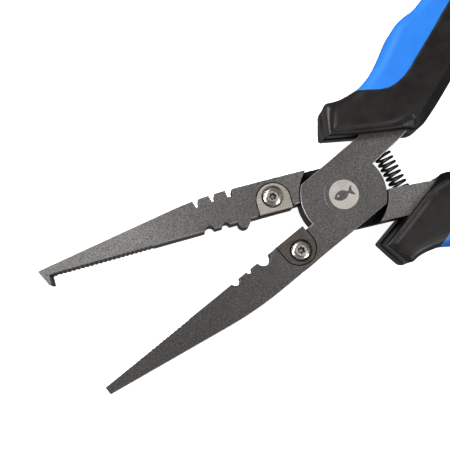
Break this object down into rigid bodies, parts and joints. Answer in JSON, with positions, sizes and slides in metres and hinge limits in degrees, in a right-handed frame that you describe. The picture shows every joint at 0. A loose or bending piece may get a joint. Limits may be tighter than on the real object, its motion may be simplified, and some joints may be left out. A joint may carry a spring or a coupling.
{
  "type": "fishing pliers",
  "caption": "Long-nose fishing pliers with split-ring hook, crimping notches, screwed-in cutter blades, return spring and two-tone moulded handles.",
  "frame": {"origin": "on the pivot axis, at the back face of the hub", "axes": "+X from the pivot towards the handles, midway between them in the open rest pose; +Z along the pivot towards the face with the cutter screws; +Y towards the front lever's handle and the rear lever's jaw"},
  "size_m": [0.2001, 0.0974, 0.013],
  "materials": {
    "lever_steel": "dark bead-blasted coating",
    "cutter_steel": "bare hardened steel, satin",
    "screw_steel": "polished stainless",
    "spring_steel": "black oxide",
    "handle_black": "fine satin texture",
    "grip_blue": "soft matte rubber"
  },
  "bodies": {
    "front_half": {"front_lever": "lever_steel", "front_cutter_blade": "cutter_steel", "front_cutter_screw": "screw_steel", "pivot_pin": "lever_steel", "pivot_collar": "lever_steel", "return_spring": "spring_steel", "front_handle_body": "handle_black", "front_handle_grip": "grip_blue"},
    "rear_half": {"rear_lever": "lever_steel", "rear_cutter_blade": "cutter_steel", "rear_cutter_screw": "screw_steel", "rear_handle_body": "handle_black", "rear_handle_grip": "grip_blue"}
  },
  "joints": [
    {"name": "jaw_pivot", "type": "hinge", "parent": "front_half", "child": "rear_half", "pos_m": [0, 0, 0], "axis": [0, 0, 1], "range_deg": [-6, 23.15], "stiffness_Nm_per_rad": 1.5, "deforming": ["return_spring"]}
  ]
}
